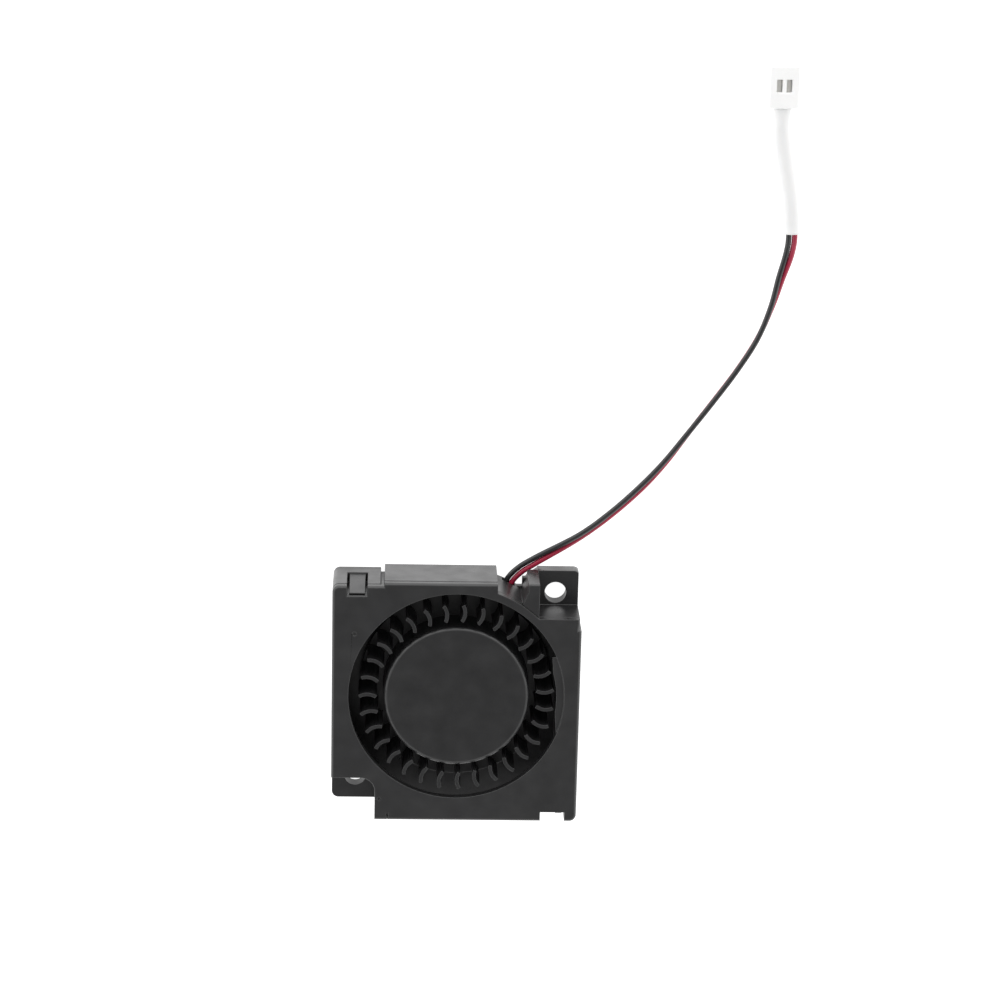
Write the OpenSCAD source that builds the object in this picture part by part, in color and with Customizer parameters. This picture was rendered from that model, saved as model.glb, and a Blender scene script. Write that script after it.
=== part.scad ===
// Radial blower fan, 40 mm square, with a two-wire lead and a small plug.
// It lies on its back: the air inlet faces +Z, the outlet faces -Y, the rotor turns about Z.
// The origin is the centre of the body's rear face.

/* [Body] */
// Width of the body along X
body_x = 40; // [39.8:0.1:40.4]
// Length of the body along Y, outlet edge included
body_y = 40.6; // [40.4:0.1:41]
// Height of the body along Z
body_z = 10.2; // [10:0.1:10.6]
// Thickness of the rear floor
floor_t = 1.2; // [1.1:0.05:1.3]
// Thickness of the front cover plate
cover_t = 1.4; // [1.2:0.1:1.6]
// Thickness of the two mounting ears
ear_t = 2.6; // [2:0.1:3]
// Radius of the mounting holes
ear_hole_r = 1.75; // [1.5:0.05:1.75]
// Radius of the outer corners
corner_r = 1.1; // [0.6:0.1:1.4]

/* [Air path] */
// Radius of the round air inlet in the cover
inlet_r = 17.4; // [17:0.1:17.5]
// Y of the inlet's centre, a little past the rotor axis
inlet_y = 1.15; // [1:0.05:1.2]
// Radius of the scroll wall where the scroll starts, beside the outlet
scroll_start_r = 17.3; // [17.1:0.1:17.4]
// Radius of the scroll wall after half a turn
scroll_end_r = 19.1; // [18.8:0.1:19.2]
// X of the straight right wall of the outlet duct
duct_right_x = 16.5; // [16.3:0.1:16.7]
// X of the straight left wall of the outlet duct
duct_left_x = -11.9; // [-12.1:0.1:-11.6]

/* [Rotor] */
// X of the rotor axis
rotor_x = 0.1; // [0:0.05:0.2]
// Y of the rotor axis
rotor_y = 0.9; // [0.8:0.05:1]
// Outer radius of the hub
hub_r = 11.8; // [11.6:0.1:12]
// Height of the hub's front face above the rear face
hub_top = 9.5; // [9.4:0.05:9.9]
// Number of blades
blade_count = 31; // [11:1:35]
// Radius of the blades' inner edge
blade_in_r = 12.95; // [12.6:0.05:13.1]
// Radius of the blades' outer edge
blade_out_r = 15.7; // [15.4:0.05:15.75]
// Radius that each blade is bent to
blade_bend_r = 2.5; // [2:0.1:3]
// Thickness of a blade
blade_t = 0.6; // [0.5:0.05:0.8]
// Angle of the first blade about the rotor axis
blade_phase = 4.9; // [0:0.1:11]

/* [Motor] */
// Radius of the shaft
shaft_r = 0.75; // [0.7:0.05:0.75]
// Radius of the sleeve bearing's bore
bearing_bore_r = 0.78; // [0.78:0.01:0.82]
// Number of laminations in the stator
lamination_count = 8; // [4:1:10]

/* [Lead] */
// Outer radius of one insulated wire
wire_r = 0.45; // [0.4:0.01:0.46]
// Distance between the two wires' centres
wire_pitch = 0.95; // [0.94:0.01:1]
// Outer radius of the sleeve on the lead
sleeve_r = 1.45; // [1.4:0.01:1.48]

/* [Hidden] */
$fn = 64;

cut = 0.5;                       // how far a cutter runs past what it cuts
half_x = body_x / 2;
half_y = body_y / 2;
wall_top = body_z - cover_t;     // the cover sits on the walls here
wall_t = 1;                      // least thickness of the scroll wall
rotor = [rotor_x, rotor_y];
inlet = [rotor_x, inlet_y];

// Mounting ears, at the upper right and the lower left
ear_a = [16, 16.6];
ear_b = [-16.2, -15.5];
recess_a = [13.1, 14.5];         // inner corner of the upper right recess
recess_a_side = 19.7;            // the ear stops short of the body's side
recess_a_step = 12.5;
recess_b = [-12.9, -13];         // inner corner of the lower left recess
recess_b_r = 2.3;
ear_b_end = -19.4;               // lower edge of the lower left ear

// Wire exit pocket in the upper edge, and the strip of cover between it and the inlet
pocket_left = 6.4;
pocket_right = 11.3;
pocket_corner = [10.7, 17.6];    // the pocket narrows towards the inlet past here
pocket_foot = [10.4, 16.6];
pocket_floor_y = 17.2;           // the floor is open past this,
pocket_ledge = [10.6, 18.6];     // but for a ledge at the right, outside this corner
strip_r = 18.7;
rib_top = 10.1;
exit_angle = 64;                 // direction of the wires inside the floor channel
channel_w = 2.3;
channel_z = 0.45;
channel_top = 1.75;
notch_top = 2.1;                 // the foot of the rib is cut away up to here, for the wires

// Upper left corner: the wall stands back a little, between a slot and the body's side,
// with a snap latch in it
corner_wall_y = 19.75;
slot_x = -12.3;
slot_w = 0.6;
slot_depth = 1.3;
latch_a_x = [-17.7, -14.4];
latch_b_x = [14.1, 18.05];
latch_a_y = 18.2;
latch_b_y = -18.7;
latch_a_top = 9.9;
latch_foot_z = 3;
latch_gap = 0.35;
latch_lean = 0.95;
latch_setback = 0.25;
latch_root = 1.25;
latch_tip = 1.15;

// Heights and radii in the motor, from the rear face up
bore_floor = 0.7;
tube_r = 3.2;
tube_bore_r = 2.25;
tube_top = 7;
pad_t = 0.35;
shaft_z = 1.12;
ring_z = 1.4;
ring_t = 0.3;
bearing_z = 1.9;
bearing_top = 6.6;
board_z = 1.7;
board_t = 0.6;
board_r = 9.3;
core_z = 3.4;
core_top = 6.6;
core_r = 7.6;
neck_w = 1.6;
neck_r = [4.2, 6.7];
shoe_r = 6.5;
shoe_half_angle = 36;
insulator_t = 0.35;
coil_r = [4.6, 6.25];
coil_half_w = 1.5;
coil_t = 0.55;
pin_r = 0.3;
pin_circle_r = 5.4;
magnet_r = [8, 9.5];
magnet_z = [3.3, 7.7];
yoke_r = 10.02;
yoke_t = 0.5;
yoke_top = 8.3;
fit = 0.02;                      // gap between parts that are pressed or glued together
flange_z = 2.1;
flange_t = 0.8;
blade_top = 9.9;
hub_edge_r = 0.8;
blade_gap = 0.4;                 // from the blades to what stands still beside them

// Route of the lead: x, y, height of the lower wire's centre, and the pair's roll in degrees.
// The first two points are inside the floor channel, the third is the wall that it leaves by.
lead_route = [
    [3.6, 8.1, 1.1, 0], [5.9, 12.8, 1.1, 0], [8.2, 17.5, 1.1, 0],
    [9.9, 19.6, 0.95, 0], [12.7, 21.4, 0.6, 5], [19.7, 25.6, 0.48, 45],
    [24.8, 29.6, 0.48, 48], [29.4, 34, 0.48, 48], [33.1, 38.3, 0.48, 60],
    [36.7, 43.3, 0.48, 75], [40.3, 48.3, 0.48, 80], [43.9, 53.5, 0.48, 80],
    [47, 58.8, 0.48, 80], [49, 64, 0.48, 70], [50.3, 68.8, 0.48, 40],
    [51.4, 72.8, 0.8, 10], [51.6, 76.2, 1.5, 0], [51, 82, 1.5, 0],
    [49.9, 88, 1.5, 0], [49.1, 93, 1.5, 0], [49.1, 97.7, 1.5, 0]];
sleeve_first = 16;
sleeve_bore_r = 1.2;
cord_sides = 8;

// Plug on the end of the lead
plug_x = 49.1;
plug_y = [96.1, 102.6];
plug_w = 4.6;
plug_h = 3.4;
plug_pitch = 1.5;
plug_chamber_end = 98;

// ---------- outlines ----------

// Points on an arc about c, from angle a0 to a1
function arc(c, r, a0, a1, steps) =
    [for (i = [0:steps]) let (a = a0 + (a1 - a0) * i / steps) c + r * [cos(a), sin(a)]];

scroll_start_a = acos((duct_right_x - rotor_x) / scroll_start_r);

// Radius of the scroll wall at angle a about the rotor
function scroll_r(a) = scroll_start_r
    + (scroll_end_r - scroll_start_r) * (a - scroll_start_a) / (180 - scroll_start_a);

module rounded_rect(low, high, r) {
    translate([low.x + r, low.y])
        square([high.x - low.x - 2 * r, high.y - low.y]);
    translate([low.x, low.y + r])
        square([high.x - low.x, high.y - low.y - 2 * r]);
    for (x = [low.x + r, high.x - r], y = [low.y + r, high.y - r])
        translate([x, y])
            circle(r);
}

// What rounding the corner at p takes away; the body lies towards [side.x, side.y]
module corner_cut(p, side, r) {
    difference() {
        translate([min(p.x, p.x + side.x * r) - (side.x > 0 ? cut : 0),
                min(p.y, p.y + side.y * r) - (side.y > 0 ? cut : 0)])
            square(r + cut);
        translate(p + r * side)
            circle(r);
    }
}

// The air space in plan: the scroll, then the duct down to the outlet
module air_space() {
    left = rotor_x - scroll_end_r;
    shelf = recess_b.y + wall_t;
    bend = recess_b - [recess_b_r, recess_b_r];
    polygon(concat(
        [[duct_right_x, -half_y - cut]],
        [for (i = [0:40]) let (a = scroll_start_a + (180 - scroll_start_a) * i / 40)
            rotor + scroll_r(a) * [cos(a), sin(a)]],
        arc([bend.x, shelf + bend.x - left], bend.x - left, 180, 270, 8),
        arc(bend, recess_b_r + wall_t, 90, 0, 8),
        [[duct_left_x, -half_y - cut]]));
}

// What the recess at the upper right ear takes away
module upper_recess() {
    translate(recess_a)
        square([half_x, half_y]);
    translate([recess_a_side, recess_a_step])
        square([half_x, half_y]);
}

// What the recess at the lower left ear takes away, its inner corner rounded
module lower_recess() {
    far = half_x + cut;
    translate([-far, -far])
        square([far + recess_b.x - recess_b_r, far + recess_b.y]);
    translate([-far, -far])
        square([far + recess_b.x, far + recess_b.y - recess_b_r]);
    translate(recess_b - [recess_b_r, recess_b_r])
        circle(recess_b_r);
}

// The pocket that the wires come out through
module wire_pocket() {
    difference() {
        polygon([[pocket_left, 14], [pocket_left, half_y + cut], [pocket_right, half_y + cut],
            [pocket_right, 18.9], pocket_corner, pocket_foot, [pocket_foot.x, 14]]);
        translate(inlet)
            circle(strip_r);
    }
}

// The whole body in plan, as the floor fills it
module floor_outline() {
    difference() {
        rounded_rect([-half_x, -half_y], [half_x, half_y], corner_r);
        translate([-half_x - cut, corner_wall_y])
            square([half_x + cut + slot_x, half_y]);
        translate([slot_x, half_y - slot_depth])
            square([slot_w, half_y]);
        translate([recess_a_side, recess_a_step])
            square([half_x, half_y]);
        translate([-half_x - cut, -half_y - cut])
            square([half_x + cut + recess_b.x, cut + half_y + ear_b_end]);
        corner_cut([-half_x, corner_wall_y], [1, -1], corner_r);
        corner_cut([-half_x, ear_b_end], [1, 1], corner_r);
        intersection() {
            wire_pocket();
            union() {
                translate([pocket_left, pocket_floor_y])
                    square([pocket_ledge.x - pocket_left, half_y]);
                translate([pocket_left, pocket_ledge.y])
                    square([half_x, half_y]);
            }
        }
    }
}

// A snap latch: a leaning tongue, seen along X, with its foot on the wall's outer face
module latch_tongue(x0, x1, outer_y, side, top) {
    translate([x0, 0, 0])
        rotate([90, 0, 90])
            linear_extrude(x1 - x0)
                polygon([[outer_y - side * latch_root, latch_foot_z], [outer_y, latch_foot_z],
                    [outer_y - side * latch_lean, top], [outer_y - side * latch_tip, top],
                    [outer_y - side * latch_root, wall_top]]);
}

// ---------- housing and cover ----------

module housing_walls() {
    translate([0, 0, floor_t / 2])
        linear_extrude(wall_top - floor_t / 2)
            difference() {
                floor_outline();
                air_space();
                upper_recess();
                lower_recess();
                wire_pocket();
            }
}

// Where the wires bend round the foot of the rib
module wire_notch() {
    notch_right = 13;
    polygon([[pocket_right - cut, 18.6], [pocket_right, 18.9], [notch_right, half_y - 0.2],
        [notch_right, half_y + cut], [pocket_right - cut, half_y + cut]]);
}

// The rib between the wire pocket and the ear stands above the walls
module wire_rib() {
    translate([0, 0, wall_top - cut])
        linear_extrude(rib_top - wall_top + cut)
            difference() {
                translate([pocket_left, recess_a.y])
                    square([recess_a.x - pocket_left, half_y - recess_a.y]);
                wire_pocket();
                translate(inlet)
                    circle(strip_r + 0.05);
            }
}

// The ears are thicker than the floor
module ear_plates() {
    for (recess = [0, 1])
        linear_extrude(ear_t)
            intersection() {
                floor_outline();
                if (recess == 0)
                    upper_recess();
                else
                    lower_recess();
            }
}

module rear_housing() {
    color("#2b2b2c")
        difference() {
            union() {
                linear_extrude(floor_t)
                    floor_outline();
                housing_walls();
                wire_rib();
                ear_plates();
                translate([rotor_x, rotor_y, 0]) {
                    cylinder(h = tube_top, r = tube_r);
                    cylinder(h = board_z, r = tube_r + 1);
                }
            }
            // bearing bore, label recess and the two mounting holes
            translate([rotor_x, rotor_y, bore_floor])
                cylinder(h = body_z, r = tube_bore_r);
            translate([rotor_x, rotor_y, -cut])
                cylinder(h = cut + 0.12, r = 10.2);
            for (ear = [ear_a, ear_b])
                translate([ear.x, ear.y, -cut])
                    cylinder(h = ear_t + 2 * cut, r = ear_hole_r);
            // floor channel and wall slot for the two wires
            translate([rotor_x, rotor_y, channel_z])
                rotate([0, 0, exit_angle])
                    translate([6, -channel_w / 2, 0])
                        cube([14, channel_w, channel_top - channel_z]);
            translate([0, 0, -cut])
                linear_extrude(notch_top + cut)
                    wire_notch();
            // pockets around the two latches
            translate([latch_a_x[0], latch_a_y - 0.05, latch_foot_z])
                cube([latch_a_x[1] - latch_a_x[0], 3, body_z]);
            translate([duct_right_x - cut, -half_y - cut, latch_foot_z])
                cube([latch_b_x[1] - duct_right_x + cut, cut + 1.6, body_z]);
        }
    color("#2b2b2c") {
        latch_tongue(latch_a_x[0] + latch_gap, latch_a_x[1] - latch_gap,
            corner_wall_y - latch_setback, 1, latch_a_top);
        latch_tongue(duct_right_x + 0.1, latch_b_x[1] - latch_gap, -half_y, -1, wall_top);
    }
}

module front_cover() {
    color("#333334")
        difference() {
            union() {
                translate([0, 0, wall_top])
                    linear_extrude(cover_t)
                        difference() {
                            rounded_rect([-half_x, -half_y], [half_x, half_y - 0.05], corner_r);
                            upper_recess();
                            lower_recess();
                            difference() {
                                translate([pocket_left, recess_a.y])
                                    square([half_x, half_y]);
                                translate(inlet)
                                    circle(strip_r);
                            }
                            translate([-half_x - cut, corner_wall_y - 0.05])
                                square([half_x + cut + slot_x + slot_w, half_y]);
                            corner_cut([-half_x, corner_wall_y - 0.05], [1, -1], corner_r);
                            translate([latch_a_x[0], latch_a_y])
                                square([latch_a_x[1] - latch_a_x[0], half_y]);
                            translate([latch_b_x[0], latch_b_y - half_y])
                                square([latch_b_x[1] - latch_b_x[0], half_y]);
                            translate(inlet)
                                circle(inlet_r);
                        }
                inlet_land();
            }
            // small moulding marks near the lower left corner
            translate([-10.95, -half_y - cut, body_z - 0.4])
                cube([0.3, 1.7, 1]);
            translate([-12.2, -16.6, body_z - 0.25])
                cylinder(h = 1, r = 0.3);
            translate([-16.4, 11.7, body_z - 0.15])
                cylinder(h = 1, r = 0.35);
        }
}

// The sunk land beside the tongue that covers the gap between the blades and the duct wall
module inlet_land() {
    translate([0, 0, wall_top + 0.4])
        linear_extrude(0.6)
            difference() {
                intersection() {
                    translate(inlet)
                        circle(inlet_r + 0.5);
                    polygon([[15.4, 8], [18.5, 8], [18.5, -9], [16.55, -9]]);
                }
                translate(rotor)
                    circle(blade_out_r + blade_gap);
            }
}

// ---------- rotor ----------

// One blade in plan, lying along +X: a circular arc, hollow towards +Y
module blade_outline() {
    mid_r = (blade_in_r + blade_out_r) / 2;
    half_a = asin((blade_out_r - blade_in_r) / 2 / blade_bend_r);
    sagitta = blade_bend_r * (1 - cos(half_a));
    centre = [mid_r, blade_bend_r - sagitta / 2];
    polygon(concat(
        arc(centre, blade_bend_r + blade_t / 2, 270 - half_a, 270 + half_a, 6),
        arc(centre, blade_bend_r - blade_t / 2, 270 + half_a, 270 - half_a, 6)));
}

module impeller() {
    inner_r = yoke_r + fit;
    top_z = yoke_top + 0.05;
    color("#303031")
        translate([rotor_x, rotor_y, 0]) {
            rotate_extrude()
                polygon(concat(
                    [[shaft_r + 0.01, 9], [0, 9], [0, hub_top]],
                    arc([hub_r - hub_edge_r, hub_top - hub_edge_r], hub_edge_r, 90, 0, 6),
                    [[hub_r, flange_z + flange_t], [blade_out_r, flange_z + flange_t],
                        [blade_out_r, flange_z], [inner_r, flange_z], [inner_r, top_z],
                        [2.2, top_z], [2.2, 7.35], [shaft_r + 0.01, 7.35]]));
            translate([0, 0, flange_z + flange_t / 2])
                linear_extrude(blade_top - flange_z - flange_t / 2)
                    for (i = [0:blade_count - 1])
                        rotate([0, 0, blade_phase + i * 360 / blade_count])
                            blade_outline();
        }
}

module rotor_yoke() {
    color("#9a9c9f")
        translate([rotor_x, rotor_y, 0])
            rotate_extrude()
                polygon([[2.3, yoke_top], [yoke_r, yoke_top], [yoke_r, magnet_z[0]],
                    [yoke_r - yoke_t, magnet_z[0]], [yoke_r - yoke_t, yoke_top - 0.4],
                    [2.3, yoke_top - 0.4]]);
}

// A flat or long ring about the rotor axis
module rotor_ring(r_in, r_out, z0, z1) {
    translate([rotor_x, rotor_y, z0])
        difference() {
            cylinder(h = z1 - z0, r = r_out);
            translate([0, 0, -cut])
                cylinder(h = z1 - z0 + 2 * cut, r = r_in);
        }
}

module ring_magnet() {
    color("#3d3a38")
        rotor_ring(magnet_r[0], magnet_r[1], magnet_z[0], magnet_z[1]);
}

// The shaft has a waist that the lock ring snaps into
module shaft() {
    waist_r = 0.55;
    color("#c4c6c9")
        translate([rotor_x, rotor_y, 0])
            rotate_extrude()
                polygon([[0, shaft_z], [0.5, shaft_z], [shaft_r, shaft_z + 0.1],
                    [shaft_r, ring_z - fit], [waist_r, ring_z - fit],
                    [waist_r, ring_z + ring_t + fit], [shaft_r, ring_z + ring_t + fit],
                    [shaft_r, 8.9], [0, 8.9]]);
}

module lock_ring() {
    color("#e8e4d8")
        difference() {
            rotor_ring(0.57, 1.7, ring_z, ring_z + ring_t);
            translate([rotor_x, rotor_y - 0.15, 0])
                cube([3, 0.3, 3]);
        }
}

// ---------- bearing ----------

module sleeve_bearing() {
    color("#a98a5a")
        rotor_ring(bearing_bore_r, tube_bore_r - fit, bearing_z, bearing_top);
}

module thrust_pad() {
    color("#efe9da")
        translate([rotor_x, rotor_y, bore_floor])
            cylinder(h = pad_t, r = 2);
}

module oil_seal_ring() {
    color("#1b1b1b")
        rotor_ring(0.95, tube_bore_r - fit, bearing_top + fit, bearing_top + 0.27);
}

// ---------- stator ----------

// One pole in plan, pointing along +X: a neck and a wide curved shoe
module pole_outline() {
    translate([neck_r[0], -neck_w / 2])
        square([neck_r[1] - neck_r[0], neck_w]);
    polygon(concat(
        arc([0, 0], core_r, -shoe_half_angle, shoe_half_angle, 12),
        arc([0, 0], shoe_r, shoe_half_angle, -shoe_half_angle, 12)));
}

module core_ring_outline(r_out) {
    difference() {
        circle(r_out);
        circle(tube_r + 0.05);
    }
}

module stator_laminations() {
    pitch = (core_top - core_z) / lamination_count;
    color("#8d8f93")
        translate([rotor_x, rotor_y, core_z])
            for (i = [0:lamination_count - 1])
                translate([0, 0, i * pitch])
                    linear_extrude(pitch - 0.01)
                        union() {
                            core_ring_outline(4.5);
                            for (a = [0:90:270])
                                rotate([0, 0, a])
                                    pole_outline();
                        }
}

// A bobbin half: a ring and four arms, with a low wall at each arm's end
module insulator(z0, wall_z0, wall_h) {
    translate([rotor_x, rotor_y, 0]) {
        translate([0, 0, z0])
            linear_extrude(insulator_t)
                union() {
                    core_ring_outline(4.5);
                    for (a = [0:90:270])
                        rotate([0, 0, a])
                            translate([neck_r[0], -neck_w / 2])
                                square([neck_r[1] - neck_r[0], neck_w]);
                }
        for (a = [0:90:270])
            rotate([0, 0, a])
                translate([shoe_r, -2.2, wall_z0])
                    cube([0.5, 4.4, wall_h]);
    }
}

module upper_insulator() {
    color("#e9e6dd")
        insulator(core_top, core_top, 0.8);
}

module lower_insulator() {
    color("#e9e6dd") {
        insulator(core_z - insulator_t - 0.01, core_z - 0.71, 0.7);
        translate([rotor_x, rotor_y, core_z - insulator_t - 0.01])
            difference() {
                for (a = [45, 135, 225])
                    rotate([0, 0, a]) {
                        translate([4.2, -0.4, 0])
                            cube([pin_circle_r - 4.2, 0.8, insulator_t]);
                        translate([pin_circle_r, 0, 0])
                            cylinder(h = insulator_t, r = 0.7);
                    }
                for (a = [45, 135, 225])
                    rotate([0, 0, a])
                        translate([pin_circle_r, 0, -cut])
                            cylinder(h = 2, r = pin_r + fit);
            }
    }
}

module terminal_pins() {
    color("#d8d3c4")
        translate([rotor_x, rotor_y, 0])
            for (a = [45, 135, 225])
                rotate([0, 0, a])
                    translate([pin_circle_r, 0, board_z - 0.2])
                        cylinder(h = core_z - board_z + 0.15, r = pin_r);
}

// One coil around the pole at angle a
module winding(a) {
    z0 = core_z - insulator_t - 0.03;
    z1 = core_top + insulator_t + 0.02;
    inner_half_w = neck_w / 2 + 0.02;
    translate([rotor_x, rotor_y, 0])
        rotate([0, 0, a])
            translate([coil_r[0], 0, 0])
                rotate([90, 0, 90])
                    linear_extrude(coil_r[1] - coil_r[0])
                        difference() {
                            rounded_rect([-coil_half_w, z0 - coil_t],
                                [coil_half_w, z1 + coil_t], 0.5);
                            translate([-inner_half_w, z0])
                                square([2 * inner_half_w, z1 - z0]);
                        }
}

module winding_1() {
    color("#b5602c")
        winding(0);
}

module winding_2() {
    color("#b5602c")
        winding(90);
}

module winding_3() {
    color("#b5602c")
        winding(180);
}

module winding_4() {
    color("#b5602c")
        winding(270);
}

// ---------- circuit board ----------

// Where the two wires are soldered, side +1 for the black wire and -1 for the red one
function solder_spot(side) = rotor
    + 7.6 * [cos(exit_angle), sin(exit_angle)]
    + side * wire_pitch / 2 * [-sin(exit_angle), cos(exit_angle)];

module circuit_board() {
    color("#2f6b3f")
        difference() {
            rotor_ring(tube_r + 0.1, board_r, board_z, board_z + board_t);
            for (a = [45, 135, 225])
                translate([rotor_x, rotor_y, 0])
                    rotate([0, 0, a])
                        translate([pin_circle_r, 0, 0])
                            cylinder(h = 5, r = pin_r + fit);
            for (side = [-1, 1])
                translate(concat(solder_spot(side), [0]))
                    cylinder(h = 5, r = 0.3);
        }
}

// A part on the board at radius r and angle a
module on_board(a, r, size) {
    translate([rotor_x, rotor_y, board_z + board_t])
        rotate([0, 0, a])
            translate([r - size.x / 2, -size.y / 2, 0])
                cube(size);
}

module driver_chip() {
    color("#1a1a1a")
        on_board(315, 8.3, [1.5, 2.9, 0.7]);
}

module board_capacitor() {
    color("#c9b48a")
        on_board(160, 8.3, [0.8, 1.6, 0.6]);
}

module board_resistor() {
    color("#23242a")
        on_board(200, 8.3, [0.8, 1.6, 0.4]);
}

// Two solder joints: a dome on the board and a stem down to the wire's end
module solder_joints() {
    color("#c9ccd0")
        for (side = [-1, 1])
            translate(concat(solder_spot(side), [0])) {
                translate([0, 0, board_z - 0.05])
                    cylinder(h = board_t + 0.1, r = 0.27);
                translate([0, 0, board_z + board_t])
                    cylinder(h = 0.35, r1 = 0.42, r2 = 0.25);
            }
}

module rear_label() {
    color("#d9d9d6")
        translate([rotor_x, rotor_y, 0.03])
            cylinder(h = 0.08, r = 10);
}

// ---------- lead ----------

// Catmull-Rom curve through the route, u counted in points
function blend(a, b, c, d, t) = 0.5 * (2 * b + (c - a) * t
    + (2 * a - 5 * b + 4 * c - d) * t * t + (3 * b - a - 3 * c + d) * t * t * t);

function route_at(u) =
    let (last = len(lead_route) - 1, i = min(floor(u), last - 1))
    blend(lead_route[max(i - 1, 0)], lead_route[i], lead_route[i + 1],
        lead_route[min(i + 2, last)], u - i);

function unit(v) = v / norm(v);

// Direction of travel in plan at u, and the direction to its left
function heading(u) =
    let (d = route_at(min(u + 0.1, len(lead_route) - 1)) - route_at(max(u - 0.1, 0)))
    unit([d.x, d.y, 0]);
function left_of(u) = let (d = heading(u)) [-d.y, d.x, 0];

// Centre of the wire on one side of the pair: +1 is the left wire, which rides up as the pair rolls
function wire_point(u, side) =
    let (p = route_at(u), roll = p[3], half = wire_pitch / 2)
    [p.x, p.y, p.z + abs(sin(roll)) * half]
    + side * half * (cos(roll) * left_of(u) + sin(roll) * [0, 0, 1]);

// The ring of points around centre line point i
function ring_at(line, i, r, sides) =
    let (t = unit(line[min(i + 1, len(line) - 1)] - line[max(i - 1, 0)]),
        n = unit([-t.y, t.x, 0]), b = cross(t, n))
    [for (k = [0:sides - 1]) let (a = 360 * (k + 0.5) / sides)
        line[i] + r * (cos(a) * n + sin(a) * b)];

// Quads between ring rows first and first + 1 of a swept wall
function wall_faces(base, rows, sides, inward) =
    [for (i = [0:rows - 2], k = [0:sides - 1])
        let (a = base + i * sides + k, b = base + i * sides + (k + 1) % sides)
        inward ? [a, b, b + sides, a + sides] : [a, a + sides, b + sides, b]];

module solid_cord(line, r) {
    rows = len(line);
    polyhedron(
        points = [for (i = [0:rows - 1]) each ring_at(line, i, r, cord_sides)],
        faces = concat(
            wall_faces(0, rows, cord_sides, false),
            [[for (k = [0:cord_sides - 1]) k]],
            [[for (k = [cord_sides - 1:-1:0]) (rows - 1) * cord_sides + k]]),
        convexity = 6);
}

module hollow_cord(line, r_out, r_in) {
    rows = len(line);
    inner = rows * cord_sides;
    last = (rows - 1) * cord_sides;
    polyhedron(
        points = concat(
            [for (i = [0:rows - 1]) each ring_at(line, i, r_out, cord_sides)],
            [for (i = [0:rows - 1]) each ring_at(line, i, r_in, cord_sides)]),
        faces = concat(
            wall_faces(0, rows, cord_sides, false),
            wall_faces(inner, rows, cord_sides, true),
            [for (k = [0:cord_sides - 1]) let (j = (k + 1) % cord_sides)
                [k, j, inner + j, inner + k]],
            [for (k = [0:cord_sides - 1]) let (j = (k + 1) % cord_sides)
                [last + j, last + k, inner + last + k, inner + last + j]]),
        convexity = 6);
}

last_point = len(lead_route) - 1;
wire_steps = concat([0.1, 1], [for (u = [2:0.5:sleeve_first]) u],
    [for (u = [sleeve_first + 1:last_point]) u]);

module wire_red() {
    color("#a8202c")
        solid_cord([for (u = wire_steps) wire_point(u, -1)], wire_r);
}

module wire_black() {
    color("#1c1c1d")
        solid_cord([for (u = wire_steps) wire_point(u, 1)], wire_r);
}

module wire_sleeve() {
    steps = [for (u = [sleeve_first:0.5:last_point - 1]) u];
    end = [plug_x, plug_y[0] - fit, sleeve_r + 0.05];
    color("#e6e6e4")
        hollow_cord(concat([for (u = steps) let (p = route_at(u)) [p.x, p.y, sleeve_r + 0.05]],
            [end]), sleeve_r, sleeve_bore_r);
}

// ---------- plug ----------

module connector_housing() {
    chamber = [2.7, 1.5];
    cell = [0.9, 1.1];
    window_l = 2;
    rib = [0.3, 3.2, 0.8];
    rib_start = [1.4, 0.5];
    middle = plug_h / 2;
    color("#ecebe6")
        difference() {
            union() {
                translate([plug_x - plug_w / 2, plug_y[0], 0])
                    cube([plug_w, plug_y[1] - plug_y[0], plug_h]);
                // keying ribs on both sides
                translate([plug_x - plug_w / 2 - rib.x, plug_y[0] + rib_start.x, rib_start.y])
                    cube([plug_w + 2 * rib.x, rib.y, rib.z]);
            }
            // rear chamber for the two wires
            translate([plug_x - chamber.x / 2, plug_y[0] - cut, middle - chamber.y / 2])
                cube([chamber.x, plug_chamber_end - plug_y[0] + cut, chamber.y]);
            // a cell and a lance window for each contact
            for (side = [-1, 1]) {
                left = plug_x + side * plug_pitch / 2 - cell.x / 2;
                translate([left, plug_chamber_end - cut, middle - cell.y / 2])
                    cube([cell.x, plug_y[1] - plug_chamber_end + 2 * cut, cell.y]);
                translate([left, plug_chamber_end + 0.6, middle])
                    cube([cell.x, window_l, plug_h]);
            }
        }
}

module crimp_contacts() {
    color("#c8b070")
        for (side = [-1, 1])
            translate([plug_x + side * plug_pitch / 2, plug_chamber_end - 0.2, plug_h / 2])
                difference() {
                    translate([-0.38, 0, -0.45])
                        cube([0.76, 4.2, 0.9]);
                    translate([-0.22, 1.2, -0.25])
                        cube([0.44, 4, 0.5]);
                }
}

rear_housing();
front_cover();
impeller();
rotor_yoke();
ring_magnet();
shaft();
sleeve_bearing();
thrust_pad();
lock_ring();
oil_seal_ring();
stator_laminations();
upper_insulator();
lower_insulator();
winding_1();
winding_2();
winding_3();
winding_4();
terminal_pins();
circuit_board();
driver_chip();
board_capacitor();
board_resistor();
solder_joints();
rear_label();
wire_red();
wire_black();
wire_sleeve();
connector_housing();
crimp_contacts();
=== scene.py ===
"""The looks of a small radial blower fan with a two-wire lead and a plug, around its CAD frame."""
import math

import bmesh
import bpy
from mathutils import Matrix, Vector, noise


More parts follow.
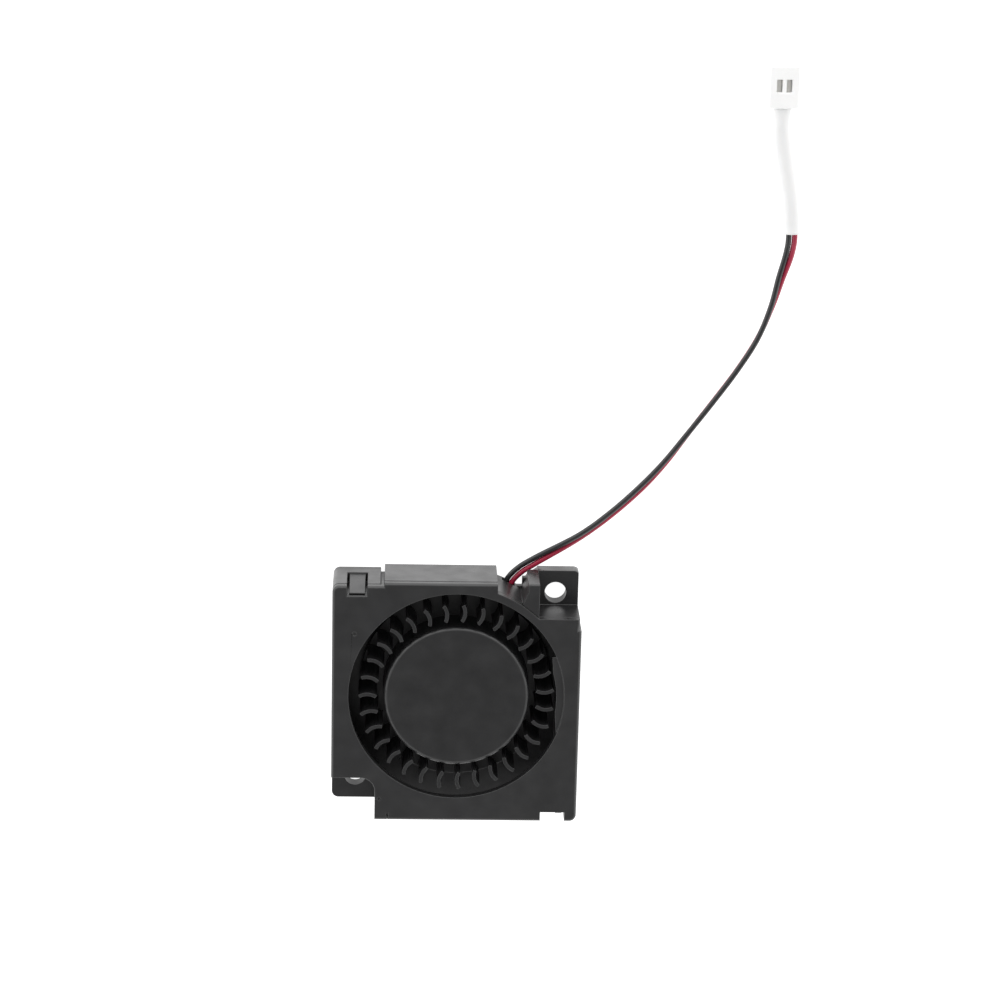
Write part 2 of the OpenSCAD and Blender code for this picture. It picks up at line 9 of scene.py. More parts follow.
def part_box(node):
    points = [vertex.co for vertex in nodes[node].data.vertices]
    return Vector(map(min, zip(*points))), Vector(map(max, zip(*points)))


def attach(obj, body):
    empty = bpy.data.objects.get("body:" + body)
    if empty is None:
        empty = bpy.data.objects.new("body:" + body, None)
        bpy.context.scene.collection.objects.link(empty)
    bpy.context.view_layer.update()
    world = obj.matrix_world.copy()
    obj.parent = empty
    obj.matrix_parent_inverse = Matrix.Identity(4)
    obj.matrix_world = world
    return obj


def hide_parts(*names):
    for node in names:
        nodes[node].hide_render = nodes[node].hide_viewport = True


MM = 0.001

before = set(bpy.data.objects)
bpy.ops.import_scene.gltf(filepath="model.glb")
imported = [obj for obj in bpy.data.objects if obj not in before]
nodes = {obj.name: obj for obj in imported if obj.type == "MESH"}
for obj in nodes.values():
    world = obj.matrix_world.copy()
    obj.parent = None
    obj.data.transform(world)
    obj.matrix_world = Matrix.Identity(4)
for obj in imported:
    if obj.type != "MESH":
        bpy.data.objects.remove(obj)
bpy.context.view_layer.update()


def middle(node):
    low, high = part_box(node)
    return (Vector(low) + Vector(high)) / 2


AXIS = middle("shaft")          # the rotor turns about the vertical through here

# ---------- camera ----------

FOCAL_MM = 108
SENSOR_MM = 36
AIM = Vector((6.74, 31.34, 0)) * MM
DISTANCE = 484.5 * MM
LEAN = math.radians(16.57)
SIDE_LEAN = math.radians(-2.08)
ROLL = math.radians(1.37)


def make_camera():
    back = Vector((math.sin(SIDE_LEAN), math.sin(LEAN) * math.cos(SIDE_LEAN),
                   math.cos(LEAN) * math.cos(SIDE_LEAN)))
    up = Vector((0, 1, 0))
    up = (up - back * up.dot(back)).normalized()
    right = up.cross(back)
    turned_right = right * math.cos(ROLL) + up * math.sin(ROLL)
    turned_up = up * math.cos(ROLL) - right * math.sin(ROLL)
    data = bpy.data.cameras.new("camera")
    data.lens = FOCAL_MM
    data.sensor_width = SENSOR_MM
    data.clip_start = 0.01
    data.clip_end = 20
    camera = bpy.data.objects.new("camera", data)
    camera.matrix_world = Matrix((turned_right, turned_up, back)).transposed().to_4x4()
    camera.location = AIM + back * DISTANCE
    bpy.context.scene.collection.objects.link(camera)
    bpy.context.scene.camera = camera


make_camera()

# ---------- lead ----------

WIRE_R = 0.45 * MM
WIRE_PITCH = 0.95 * MM
SLEEVE_R = 1.45 * MM
SLEEVE_BORE_R = 1.2 * MM

# The CAD route in millimetres: x, y, height of the lower wire's centre, roll of the pair in degrees
LEAD_ROUTE = [
    (3.6, 8.1, 1.1, 0), (5.9, 12.8, 1.1, 0), (8.2, 17.5, 1.1, 0),
    (9.9, 19.6, 0.95, 0), (12.7, 21.4, 0.6, 5), (19.7, 25.6, 0.48, 45),
    (24.8, 29.6, 0.48, 48), (29.4, 34, 0.48, 48), (33.1, 38.3, 0.48, 60),
    (36.7, 43.3, 0.48, 75), (40.3, 48.3, 0.48, 80), (43.9, 53.5, 0.48, 80),
    (47, 58.8, 0.48, 80), (49, 64, 0.48, 70), (50.3, 68.8, 0.48, 40),
    (51.4, 72.8, 0.8, 10), (51.6, 76.2, 1.5, 0), (51, 82, 1.5, 0),
    (49.9, 88, 1.5, 0), (49.1, 93, 1.5, 0), (49.1, 97.7, 1.5, 0)]
EXIT_POINT = 2
SLEEVE_FIRST = 16
LAST_POINT = len(LEAD_ROUTE) - 1
STEPS_PER_POINT = 6


def route_at(u):
    """Place in metres and roll in radians on a Catmull-Rom curve through the route, at point u."""
    i = min(int(math.floor(u)), LAST_POINT - 1)
    t = u - i
    a, b, c, d = (Vector(LEAD_ROUTE[min(max(k, 0), LAST_POINT)]) for k in range(i - 1, i + 3))
    p = 0.5 * (2 * b + (c - a) * t + (2 * a - 5 * b + 4 * c - d) * t * t
               + (3 * b - a - 3 * c + d) * t ** 3)
    return Vector(p[:3]) * MM, math.radians(p[3])


def wire_point(u, side):
    """Centre of one wire of the pair at u: side is 1 for the left wire, -1 for the right one."""
    place, roll = route_at(u)
    ahead = route_at(min(u + 0.1, LAST_POINT))[0] - route_at(max(u - 0.1, 0))[0]
    left = Vector((-ahead.y, ahead.x, 0)).normalized()
    half = WIRE_PITCH / 2
    lift = Vector((0, 0, abs(math.sin(roll)) * half))
    return place + lift + side * half * (math.cos(roll) * left + Vector((0, 0, math.sin(roll))))


def steps(first, last, per_point):
    count = int(round((last - first) * per_point))
    return [first + (last - first) * i / count for i in range(count + 1)]


def curve_tube(name, points, radius, closed=False):
    data = bpy.data.curves.new(name, "CURVE")
    data.dimensions = "3D"
    data.bevel_depth = 1
    data.bevel_resolution = 5
    data.use_fill_caps = not closed
    spline = data.splines.new("POLY")
    spline.points.add(len(points) - 1)
    for point, place in zip(spline.points, points):
        point.co = (*place, 1)
        point.radius = radius
    spline.use_smooth = True
    spline.use_cyclic_u = closed
    piece = bpy.data.objects.new(name, data)
    bpy.context.scene.collection.objects.link(piece)
    return piece


def make_wire(name, node, side):
    """The free stretch of one wire, and its short stretch in the floor channel up to the board."""
    free = [wire_point(u, side) for u in steps(EXIT_POINT, LAST_POINT, STEPS_PER_POINT)]
    held = [wire_point(u, side) for u in steps(0.1, EXIT_POINT, STEPS_PER_POINT)]
    wire = curve_tube("lead_" + name, free, WIRE_R)
    inner = curve_tube("lead_inner_" + name, held, WIRE_R)
    for piece in (wire, inner):
        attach(piece, "housing")
        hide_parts(node)
    return wire, inner, free


red_wire, red_inner, red_points = make_wire("red", "wire_red", -1)
black_wire, black_inner, black_points = make_wire("black", "wire_black", 1)

SLEEVE_SIDES = 32
WALL_GAP = 0.05 * MM            # the sleeve's underside clears the floor by this


def swept_tube(name, centres, outer, inner):
    """An open-ended tube along centres; outer and inner give the radius at ring i and angle a."""
    mesh = bmesh.new()

    def ring(i, radius):
        ahead = (centres[min(i + 1, len(centres) - 1)] - centres[max(i - 1, 0)]).normalized()
        side = Vector((-ahead.y, ahead.x, 0)).normalized()
        up = ahead.cross(side)
        angles = [2 * math.pi * k / SLEEVE_SIDES for k in range(SLEEVE_SIDES)]
        return [mesh.verts.new(centres[i] + radius(i, a) * (math.cos(a) * side + math.sin(a) * up))
                for a in angles]

    def band(a, b, flip):
        for k in range(SLEEVE_SIDES):
            j = (k + 1) % SLEEVE_SIDES
            corners = [a[k], a[j], b[j], b[k]]
            mesh.faces.new(corners[::-1] if flip else corners)

    outside = [ring(i, outer) for i in range(len(centres))]
    inside = [ring(i, inner) for i in range(len(centres))]
    for i in range(len(centres) - 1):
        band(outside[i], outside[i + 1], False)
        band(inside[i], inside[i + 1], True)
    band(outside[0], inside[0], True)
    band(outside[-1], inside[-1], False)
    bmesh.ops.recalc_face_normals(mesh, faces=mesh.faces)
    return finished(name, mesh)


def finished(name, mesh):
    data = bpy.data.meshes.new(name)
    mesh.to_mesh(data)
    mesh.free()
    data.polygons.foreach_set("use_smooth", [True] * len(data.polygons))
    piece = bpy.data.objects.new(name, data)
    bpy.context.scene.collection.objects.link(piece)
    return piece


def make_sleeve():
    """The white sleeve over the last stretch: a soft tube, a little creased, cut square."""
    crease_depth = 0.05 * MM
    crease_size = 1.6 * MM
    places = [route_at(u)[0] for u in steps(SLEEVE_FIRST, LAST_POINT - 1, 16)]
    plug_rear = Vector((middle("connector_housing").x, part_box("connector_housing")[0][1], 0))
    places += [places[-1].lerp(plug_rear, t / 8) for t in range(1, 8)] + [plug_rear]
    height = SLEEVE_R + WALL_GAP
    centres = [Vector((p.x, p.y, height)) for p in places]

    def outer(i, a):
        spot = Vector((math.cos(a), math.sin(a), centres[i].y / crease_size))
        on_two_sides = 0.6 + 0.4 * math.sin(a * 2)
        return SLEEVE_R - crease_depth * (0.5 + noise.noise(spot * 1.1)) * on_two_sides

    sleeve = swept_tube("lead_sleeve", centres, outer, lambda i, a: SLEEVE_BORE_R)
    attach(sleeve, "housing")
    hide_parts("wire_sleeve")
    return sleeve


sleeve = make_sleeve()

# ---------- moulded and stamped pieces: the CAD shapes with their edges rounded ----------

SHARP_EDGE = math.radians(28)   # edges that turn less than this are facets of a curve
FLAT = math.radians(0.6)


def heading(edge):
    return (edge.verts[1].co - edge.verts[0].co).normalized()


def smooth_run(edge):
    """The edges that carry on from this one without a corner."""
    return [other for vert in edge.verts for other in vert.link_edges
            if other != edge and abs(heading(other).dot(heading(edge))) > math.cos(SHARP_EDGE)]


def quartered(mesh):
    """Cuts the faces along the rotor's two centre planes, and gives the edges in neither."""
    for normal in ((1, 0, 0), (0, 1, 0)):
        everything = mesh.verts[:] + mesh.edges[:] + mesh.faces[:]
        bmesh.ops.bisect_plane(mesh, geom=everything, plane_co=AXIS, plane_no=normal,
                               dist=0.001 * MM)

    def in_plane(edge):
        return any(all(abs(vert.co[axis] - AXIS[axis]) < 0.01 * MM for vert in edge.verts)
                   for axis in (0, 1))

    return [edge for edge in mesh.edges if not in_plane(edge)]


def softened(name, node, body, width, weld=0.002, wider=None, widest=None, ring=False):
    """A copy of a CAD node with its sharp edges rounded over width, in millimetres.

    wider picks the edges that are rounded over widest, along with all that they run into.
    A ring's flat faces are kept as four quarters, as no face can have a hole.
    """
    mesh = bmesh.new()
    mesh.from_mesh(nodes[node].data)
    bmesh.ops.remove_doubles(mesh, verts=mesh.verts, dist=weld * MM)
    loose = quartered(mesh) if ring else mesh.edges
    bmesh.ops.dissolve_limit(mesh, angle_limit=FLAT, verts=mesh.verts, edges=loose)
    widest = widest or width
    weight = mesh.edges.layers.float.new("bevel_weight_edge")
    sharp = [edge for edge in mesh.edges if edge.calc_face_angle(0) > SHARP_EDGE]
    sharp_set = set(sharp)
    for edge in sharp:
        edge[weight] = width / widest
    rounder = [edge for edge in sharp if wider and wider(edge)]
    while rounder:
        edge = rounder.pop()
        edge[weight] = 1
        rounder += [other for other in smooth_run(edge) if other in sharp_set and other[weight] < 1]
    piece = finished(name, mesh)
    bevel = piece.modifiers.new("rounded_edges", "BEVEL")
    bevel.width = widest * MM
    bevel.segments = 4 if wider else 3
    bevel.limit_method = "WEIGHT"
    bevel.use_clamp_overlap = False
    normals = piece.modifiers.new("flat_faces_stay_flat", "WEIGHTED_NORMAL")
    normals.weight = 80
    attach(piece, body)
    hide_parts(node)
    return piece


HOUSING_WELD = 0.06             # the finest steps of the larger pieces, too small to round
EDGE_R = 0.12
RIM_R = 0.5                     # the cover's outer rim
RIB_R = 0.4                     # the top of the rib beside the wires
RIM_REACH = 0.6 * MM            # rim edges lie this close to the cover's box
STRAIGHT = 1.5 * MM             # and are at least this long
LATCH_END = 7 * MM              # the upper latch lies this near the -X side
LATCH_INNER = (1 * MM, 3 * MM)  # and its inner edge so far from the +Y side


def rim_picker():
    """Picks the straight stretches of the cover's outer rim, and the upper latch's inner edge."""
    low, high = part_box("front_cover")

    def on_rim(edge):
        place = (edge.verts[0].co + edge.verts[1].co) / 2
        inward = high[1] - place.y
        reach = min(place.x - low[0], high[0] - place.x, place.y - low[1], inward)
        on_top = place.z > high[2] - EDGE_R * MM
        at_latch = place.x < low[0] + LATCH_END and LATCH_INNER[0] < inward < LATCH_INNER[1]
        return on_top and (reach < RIM_REACH or at_latch) and edge.calc_length() > STRAIGHT

    return on_rim


def rib_picker():
    """Picks the outer edge of the rib's top."""
    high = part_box("rear_housing")[1]

    def on_rib(edge):
        place = (edge.verts[0].co + edge.verts[1].co) / 2
        return place.x > 0 and min(place.z - high[2], place.y - high[1]) > -EDGE_R * MM

    return on_rib


housing = softened("housing_shell", "rear_housing", "housing", 0.1,
                   HOUSING_WELD, rib_picker(), RIB_R)
cover = softened("cover_shell", "front_cover", "housing", EDGE_R, HOUSING_WELD,
                 rim_picker(), RIM_R, ring=True)
wheel = softened("blower_wheel", "impeller", "rotor", 0.09)
yoke = softened("yoke_cup", "rotor_yoke", "rotor", 0.12)
bobbin_top = softened("bobbin_top", "upper_insulator", "housing", 0.06)
bobbin_base = softened("bobbin_base", "lower_insulator", "housing", 0.05, HOUSING_WELD)
chip = softened("chip_body", "driver_chip", "housing", 0.1)
capacitor = softened("capacitor_body", "board_capacitor", "housing", 0.07)
resistor = softened("resistor_body", "board_resistor", "housing", 0.05)
plug = softened("plug_body", "connector_housing", "housing", 0.14)
contacts = softened("plug_contacts", "crimp_contacts", "housing", 0.05)

# ---------- windings ----------

STRAND_R = 0.1 * MM
STRAND_PITCH = 0.21 * MM
CORNER_R = 0.3 * MM


def loop_points(half_w, low, high, corner, per_corner=4):
    """A rounded rectangle in the plane across a pole: (across, height) pairs."""
    points = []
    for turn, (across, up) in enumerate(((1, 1), (-1, 1), (-1, -1), (1, -1))):
        centre_up = high - corner if up > 0 else low + corner
        for k in range(per_corner + 1):
            a = math.radians(90 * turn + 90 * k / per_corner)
            points.append((across * (half_w - corner) + corner * math.cos(a),
                           centre_up + corner * math.sin(a)))
    return points


def make_winding(node, quarter):
    """A coil in two layers of enamelled strand around one pole of the stator."""
    low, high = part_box(node)
    along = Vector((math.cos(quarter * math.pi / 2), math.sin(quarter * math.pi / 2), 0))
    across = Vector((-along.y, along.x, 0))
    reach = [(Vector(corner) - AXIS).dot(along) for corner in (low, high)]
    start, end = min(reach), max(reach)
    half = (high[0] - low[0] if quarter % 2 else high[1] - low[1]) / 2
    turns = int((end - start - 2 * STRAND_R) / STRAND_PITCH)
    points = []
    for layer in (0, 1):
        inset = STRAND_R + layer * STRAND_PITCH
        outline = loop_points(half - inset, low[2] + inset, high[2] - inset, CORNER_R)
        total = turns * len(outline)
        for step in range(total):
            across_by, height = outline[step % len(outline)]
            done = step / total
            place = start + STRAND_R + STRAND_PITCH * turns * (done if layer == 0 else 1 - done)
            points.append(Vector((AXIS.x, AXIS.y, height)) + place * along + across_by * across)
    coil = curve_tube(node.replace("winding", "coil"), points, STRAND_R)
    coil.data.bevel_resolution = 2
    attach(coil, "housing")
    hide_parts(node)
    return coil


coils = [make_winding("winding_%d" % (quarter + 1), quarter) for quarter in range(4)]

# ---------- materials ----------


class Finish:
    """One node material, with short ways to add detail to its Principled shader."""

    def __init__(self, name, color, rough, **inputs):
        self.material = bpy.data.materials.new(name)
        self.material.use_nodes = True
        self.tree = self.material.node_tree
        self.shader = self.tree.nodes["Principled BSDF"]
        self.color = (*color, 1)
        self.fill(self.shader, base_color=self.color, roughness=rough, **inputs)
        self.place = self.tree.nodes.new("ShaderNodeTexCoord").outputs["Object"]

    def fill(self, node, **inputs):
        for key, value in inputs.items():
            socket = node.inputs[key.replace("_", " ").title().replace("Ior", "IOR")]
            if isinstance(value, bpy.types.NodeSocket):
                self.tree.links.new(value, socket)
            else:
                socket.default_value = value
        return node

    def node(self, kind, **inputs):
        return self.fill(self.tree.nodes.new("ShaderNode" + kind), **inputs)

    def spots(self, size, detail=2.0, stretch=(1, 1, 1)):
        """Noise from 0 to 1, in spots about size millimetres wide, longer on a stretched axis."""
        placed = self.node("Mapping", vector=self.place, scale=[1 / s for s in stretch])
        return self.node("TexNoise", vector=placed.outputs[0], scale=1 / (size * MM),
                         detail=detail).outputs["Fac"]

    def ranged(self, value, low, high, to_low, to_high):
        spread = self.node("MapRange", value=value)
        for socket, number in zip(spread.inputs[1:5], (low, high, to_low, to_high)):
            socket.default_value = number
        return spread.outputs[0]

    def tint(self, amount, other):
        """Mixes another colour into the base colour by amount."""
        mix = self.tree.nodes.new("ShaderNodeMix")
        mix.data_type = "RGBA"
        self.tree.links.new(amount, mix.inputs[0])
        base = self.shader.inputs["Base Color"]
        if base.is_linked:
            self.tree.links.new(base.links[0].from_socket, mix.inputs[6])
        else:
            mix.inputs[6].default_value = base.default_value
        mix.inputs[7].default_value = (*other, 1)
        self.tree.links.new(mix.outputs[2], base)
        return self

    def rough(self, value, low, high):
        self.fill(self.shader, roughness=self.ranged(value, 0.3, 0.7, low, high))
        return self

    def relief(self, height, depth):
        """Raises the surface by depth millimetres where height is 1, over what is there already."""
        bump = self.node("Bump", height=height, distance=depth * MM)
        normal = self.shader.inputs["Normal"]
        if normal.is_linked:
            self.tree.links.new(normal.links[0].from_socket, bump.inputs["Normal"])
        self.tree.links.new(bump.outputs[0], normal)
        return self

    def near_edges(self, radius):
        """1 within radius millimetres of an edge, 0 on open faces."""
        rounded = self.node("Bevel", radius=radius * MM)
        rounded.samples = 4
        true = self.node("NewGeometry")
        dot = self.tree.nodes.new("ShaderNodeVectorMath")
        dot.operation = "DOT_PRODUCT"
        self.tree.links.new(rounded.outputs[0], dot.inputs[0])
        self.tree.links.new(true.outputs["Normal"], dot.inputs[1])
        return self.ranged(dot.outputs["Value"], 0.75, 0.99, 1, 0)


def times(finish, a, b):
    product = finish.tree.nodes.new("ShaderNodeMath")
    product.operation = "MULTIPLY"
    for socket, value in zip(product.inputs, (a, b)):
        finish.tree.links.new(value, socket)
    return product.outputs[0]


def moulded(name, color, rough, worn, grain=0.14):
    """Satin moulded plastic: a fine tool-mark grain, slight gloss changes, edges rubbed paler."""
    f = Finish(name, color, rough, ior=1.65)
    paler = [c * 1.35 + 0.002 for c in color]
    f.tint(f.ranged(f.spots(7, 3), 0.35, 0.7, 0, 0.6), paler)
    f.tint(times(f, f.near_edges(0.12), f.ranged(f.spots(1.5, 4), 0.4, 0.62, 0, 0.8)), worn)
    f.rough(f.spots(3, 4), rough - 0.05, rough + 0.08)
    f.relief(f.spots(grain, 2), 0.006)
    f.relief(f.spots(4, 1), 0.01)
    return f.material


def insulation(name, color, rough):
    """Extruded PVC over stranded wire: faint lengthwise waviness, scuffs and handling gloss."""
    f = Finish(name, color, rough, ior=1.54, coat_weight=0.15, coat_roughness=0.2)
    f.tint(f.ranged(f.spots(5, 3), 0.4, 0.7, 0, 0.5), [c * 1.4 + 0.003 for c in color])
    f.tint(f.ranged(f.spots(0.6, 4), 0.6, 0.75, 0, 0.35), [c * 0.6 for c in color])
    f.rough(f.spots(1.2, 3), rough - 0.06, rough + 0.1)
    f.relief(f.spots(0.9, 2), 0.02)
    f.relief(f.spots(0.1, 2), 0.003)
    return f.material


def soft_white(name, color, rough, clear):
    """Milky plastic that lets a little light through, with flow marks and a fine grain."""
    f = Finish(name, color, rough, ior=1.5, subsurface_weight=clear,
               subsurface_radius=(0.5 * MM, 0.45 * MM, 0.4 * MM), subsurface_scale=1.0)
    f.tint(f.ranged(f.spots(3, 3, (1, 3, 1)), 0.4, 0.7, 0, 0.6), [c * 0.95 for c in color])
    f.tint(f.ranged(f.spots(0.5, 4), 0.66, 0.8, 0, 0.3), [c * 0.85 for c in color])
    f.rough(f.spots(2, 3), rough - 0.05, rough + 0.1)
    f.relief(f.spots(1.1, 2), 0.02)
    f.relief(f.spots(0.12, 2), 0.004)
    return f.material


def metal(name, color, rough, stretch=(1, 1, 1), line=0.15, stain=0.4, metallic=1.0):
    """Bare metal: fine drawing or grinding lines along the stretched axis, and uneven tarnish."""
    f = Finish(name, color, rough, metallic=metallic)
    f.tint(f.ranged(f.spots(2.5, 5), 0.45, 0.75, 0, stain), [c * 0.55 for c in color])
    f.rough(f.spots(line * 2, 3, stretch), rough - 0.06, rough + 0.12)
    f.relief(f.spots(line, 2, stretch), 0.004)
    return f.material


def speckled(name, color, spot_color, rough, metallic, size):
    """A pressed powder part: open grains of another tone over the whole surface."""
    f = Finish(name, color, rough, metallic=metallic)
    grains = f.spots(size, 4)
    f.tint(f.ranged(grains, 0.5, 0.6, 0, 0.8), spot_color)
    f.rough(f.spots(size * 2, 2), rough - 0.05, rough + 0.15)
    f.relief(grains, 0.012)
    return f.material


def enamelled_copper():
    f = Finish("enamelled_copper", (0.62, 0.24, 0.1), 0.28, metallic=1.0, coat_weight=0.6,
               coat_roughness=0.12)
    f.tint(f.ranged(f.spots(1.4, 4), 0.4, 0.7, 0, 0.6), (0.4, 0.11, 0.04))
    f.relief(f.spots(0.12, 2), 0.003)
    return f.material


def solder_mask():
    """Green lacquer over glass cloth: the weave shows as a faint square relief."""
    f = Finish("solder_mask", (0.012, 0.12, 0.045), 0.3, coat_weight=0.4, coat_roughness=0.15)
    thread = 0.12 * MM
    for axis in ("X", "Y"):
        weave = f.node("TexWave", vector=f.place, scale=1 / (2 * math.pi * thread), distortion=1.5)
        weave.bands_direction = axis
        f.relief(weave.outputs["Fac"], 0.006)
    f.tint(f.ranged(f.spots(1.8, 3), 0.4, 0.7, 0, 0.7), (0.02, 0.18, 0.07))
    f.rough(f.spots(1, 3), 0.24, 0.4)
    return f.material


def label_film():
    """A plain silvered film with a thin dark border ring, its print left out."""
    f = Finish("label_film", (0.6, 0.6, 0.59), 0.32, metallic=0.55)
    f.tint(f.ranged(f.spots(2.5, 4), 0.45, 0.7, 0, 0.4), (0.48, 0.48, 0.47))
    low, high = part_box("rear_label")
    centred = f.node("Mapping", vector=f.place, location=(-AXIS.x, -AXIS.y, -low[2]))
    spread = f.node("Mapping", vector=centred.outputs[0], scale=(1, 1, 0))
    distance = f.tree.nodes.new("ShaderNodeVectorMath")
    distance.operation = "LENGTH"
    f.tree.links.new(spread.outputs[0], distance.inputs[0])
    edge = (high[0] - low[0]) / 2
    inner = f.ranged(distance.outputs["Value"], edge * 0.9, edge * 0.902, 0, 1)
    outer = f.ranged(distance.outputs["Value"], edge * 0.925, edge * 0.927, 1, 0)
    f.tint(times(f, inner, outer), (0.05, 0.05, 0.055))
    f.rough(f.spots(0.8, 3), 0.28, 0.42)
    f.relief(f.spots(0.25, 3), 0.003)
    f.relief(f.spots(5, 2), 0.02)
    return f.material


def felt_or_rubber(name, color, size):
    f = Finish(name, color, 0.8, sheen_weight=0.2)
    f.tint(f.ranged(f.spots(size * 4, 4), 0.4, 0.7, 0, 0.6), [c * 1.6 + 0.004 for c in color])
    f.rough(f.spots(size * 2, 3), 0.7, 0.95)
    f.relief(f.spots(size, 4), 0.02)
    return f.material


def paint(piece, material):
    piece.data.materials.clear()
    piece.data.materials.append(material)


WORN = (0.03, 0.03, 0.031)
nylon = soft_white("natural_nylon", (0.74, 0.71, 0.63), 0.42, 0.15)

paint(housing, moulded("housing_satin", (0.0105, 0.0105, 0.011), 0.32, WORN))
paint(cover, moulded("cover_satin", (0.012, 0.012, 0.0125), 0.34, WORN))
# the wheel's plastic is set darker than the cover's: partly its own tone, partly painted shade for
# the deep gaps between its blades
paint(wheel, moulded("wheel_satin", (0.008, 0.008, 0.0085), 0.34, WORN, grain=0.2))
paint(red_wire, insulation("red_insulation", (0.35, 0.007, 0.04), 0.34))
paint(red_inner, red_wire.data.materials[0])
paint(black_wire, insulation("black_insulation", (0.012, 0.012, 0.013), 0.34))
paint(black_inner, black_wire.data.materials[0])
paint(sleeve, soft_white("sleeve_white", (0.88, 0.88, 0.875), 0.45, 0.1))
paint(plug, soft_white("plug_nylon", (0.98, 0.98, 0.975), 0.38, 0.05))
paint(contacts, metal("tinned_contacts", (0.93, 0.92, 0.88), 0.4, (1, 6, 1),
                      stain=0.1, metallic=0.1))
paint(yoke, metal("drawn_steel", (0.42, 0.43, 0.44), 0.32, (1, 1, 8)))
for piece in (bobbin_top, bobbin_base, nodes["lock_ring"], nodes["thrust_pad"]):
    paint(piece, nylon)
paint(chip, speckled("chip_epoxy", (0.015, 0.015, 0.016), (0.03, 0.03, 0.03), 0.45, 0, 0.08))
paint(resistor, speckled("resistor_glaze", (0.02, 0.022, 0.03), (0.05, 0.05, 0.06), 0.3, 0, 0.12))
paint(capacitor, speckled("capacitor_ceramic", (0.45, 0.34, 0.2), (0.36, 0.27, 0.16), 0.4, 0, 0.1))
copper = enamelled_copper()
for coil in coils:
    paint(coil, copper)
paint(nodes["ring_magnet"], speckled("bonded_ferrite", (0.045, 0.042, 0.04), (0.09, 0.085, 0.08),
                                     0.55, 0.2, 0.15))
paint(nodes["sleeve_bearing"], speckled("sintered_bronze", (0.5, 0.31, 0.14), (0.25, 0.14, 0.06),
                                        0.38, 0.9, 0.09))
paint(nodes["shaft"], metal("ground_steel", (0.62, 0.63, 0.64), 0.16, (1, 1, 0.2), 0.1, 0.2))
paint(nodes["stator_laminations"], metal("stamped_steel", (0.36, 0.37, 0.39), 0.36, (1, 1, 6), 0.2))
paint(nodes["terminal_pins"], metal("tinned_pins", (0.66, 0.65, 0.62), 0.24, (1, 1, 6), 0.1))
paint(nodes["solder_joints"], metal("solder", (0.6, 0.61, 0.62), 0.2, (1, 1, 1), 0.5))
paint(nodes["circuit_board"], solder_mask())
paint(nodes["rear_label"], label_film())
paint(nodes["oil_seal_ring"], felt_or_rubber("oiled_felt", (0.015, 0.015, 0.015), 0.12))

# ---------- stage ----------

FLOOR_HALF = 3
FLOOR_DROP = 0.05 * MM          # the gap under the rear face, so that the two faces don't mix
FLOOR_SEEN = 1.0                # how bright the paper is to the camera, so no shadow shows on it
FLOOR_GLOW = 1.1                # and to the object, whose sides mirror it
UNDER_GLOW = 0.7                # under the body, where it lights the mounting holes from below; lower than FLOOR_GLOW as painted shade under the body
ZENITH_LIGHT = 0.33             # straight above, where the flat faces would mirror it
SIDE_LIGHT = 1.6                # all round, from the horizon to well up
SIDE_LIGHT_ENDS = 0.57          # sine of the height at which the side light starts to fade
ZENITH_STARTS = 0.87
FAR_SIDE_MORE = 0.25            # how much brighter the +Y side is, and how much darker the -Y side
EDGE_FADE = 0.6 * MM            # how softly the painted shade under the body fades in at its edge
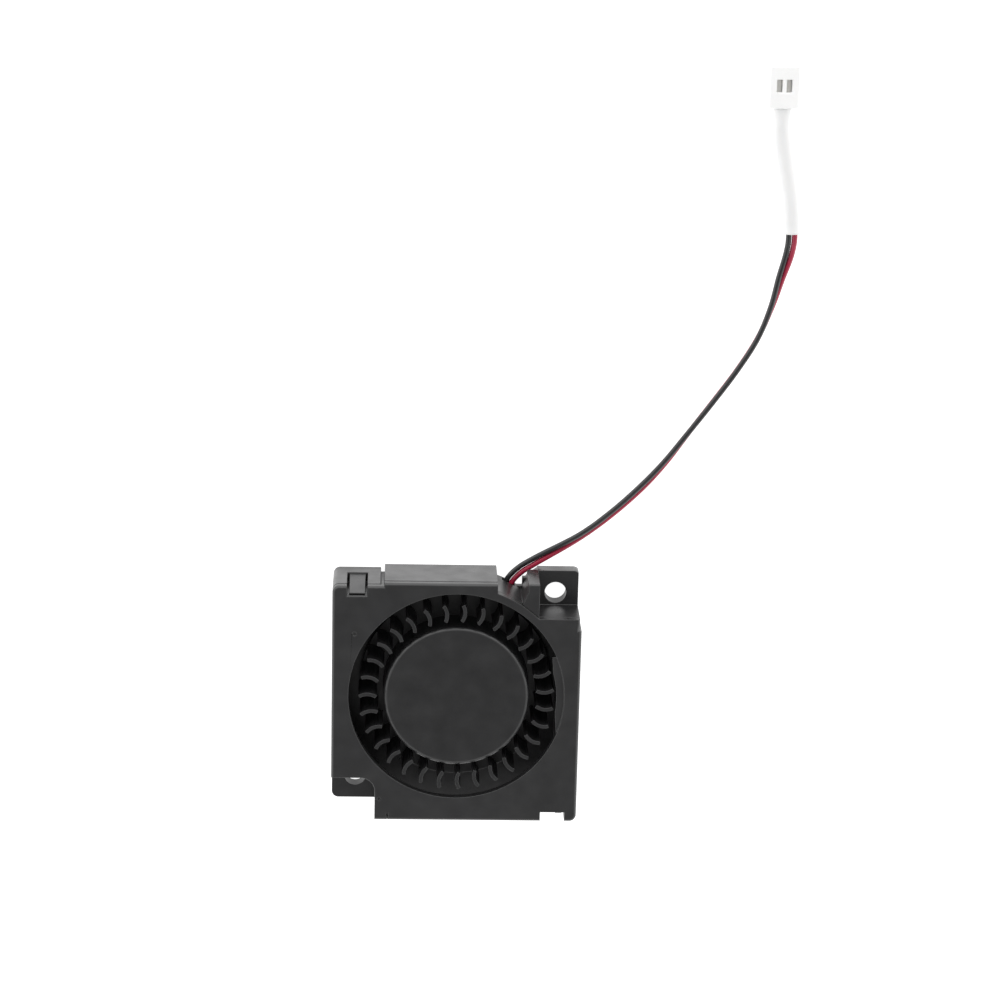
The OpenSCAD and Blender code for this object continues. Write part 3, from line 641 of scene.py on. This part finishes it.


def floor_paper():
    """White paper lit evenly from below, less under the body, where the lower glow is painted
    shade.
    """
    f = Finish("floor_paper", (0.35, 0.35, 0.35), 0.9, specular_ior_level=0.1,
               emission_color=(1, 1, 1, 1))
    f.tint(f.ranged(f.spots(40, 3), 0.4, 0.7, 0, 0.5), (0.33, 0.33, 0.33))
    low, high = (Vector(corner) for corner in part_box("rear_housing"))
    centred = f.node("Mapping", vector=f.place, location=[-c for c in (low + high) / 2])
    folded = f.tree.nodes.new("ShaderNodeVectorMath")
    folded.operation = "ABSOLUTE"
    f.tree.links.new(centred.outputs[0], folded.inputs[0])
    across = f.node("SeparateXYZ", vector=folded.outputs[0])
    inside = [f.ranged(across.outputs[axis], half - EDGE_FADE, half, 1, 0)
              for axis, half in ((0, (high.x - low.x) / 2), (1, (high.y - low.y) / 2))]
    # painted shade: the paper glows less under the body than in the open
    glow_with_shade_under_body = f.ranged(times(f, *inside), 0, 1, FLOOR_GLOW, UNDER_GLOW)
    seen = f.tree.nodes.new("ShaderNodeLightPath").outputs["Is Camera Ray"]
    glow = f.tree.nodes.new("ShaderNodeMath")
    glow.operation = "MAXIMUM"
    f.tree.links.new(glow_with_shade_under_body, glow.inputs[0])
    f.tree.links.new(f.ranged(seen, 0, 1, 0, FLOOR_SEEN), glow.inputs[1])
    f.fill(f.shader, emission_strength=glow.outputs[0])
    return f.material


def make_stage():
    floor_mesh = bpy.data.meshes.new("floor")
    size = FLOOR_HALF
    corners = [(-size, -size, 0), (size, -size, 0), (size, size, 0), (-size, size, 0)]
    floor_mesh.from_pydata(corners, [], [(0, 1, 2, 3)])
    floor = bpy.data.objects.new("floor", floor_mesh)
    bpy.context.scene.collection.objects.link(floor)
    floor_mesh.materials.append(floor_paper())
    floor.location.z = -FLOOR_DROP


def make_light():
    """A tent of soft white light, dimmer overhead and towards -Y."""
    world = bpy.data.worlds.new("tent")
    bpy.context.scene.world = world
    world.use_nodes = True
    tree = world.node_tree
    background = tree.nodes["Background"]
    background.inputs["Color"].default_value = (1, 1, 1, 1)
    direction = tree.nodes.new("ShaderNodeTexCoord").outputs["Generated"]
    parts = tree.nodes.new("ShaderNodeSeparateXYZ")
    tree.links.new(direction, parts.inputs[0])
    fade = tree.nodes.new("ShaderNodeMapRange")
    fade.interpolation_type = "SMOOTHSTEP"
    numbers = (SIDE_LIGHT_ENDS, ZENITH_STARTS, SIDE_LIGHT, ZENITH_LIGHT)
    for socket, number in zip(fade.inputs[1:5], numbers):
        socket.default_value = number
    tree.links.new(parts.outputs["Z"], fade.inputs[0])
    lean = tree.nodes.new("ShaderNodeMath")
    lean.operation = "MULTIPLY_ADD"
    lean.inputs[1].default_value = FAR_SIDE_MORE
    lean.inputs[2].default_value = 1
    tree.links.new(parts.outputs["Y"], lean.inputs[0])
    strength = tree.nodes.new("ShaderNodeMath")
    strength.operation = "MULTIPLY"
    tree.links.new(fade.outputs[0], strength.inputs[0])
    tree.links.new(lean.outputs[0], strength.inputs[1])
    tree.links.new(strength.outputs[0], background.inputs["Strength"])
    bpy.context.scene.view_settings.view_transform = "Standard"


make_stage()
make_light()
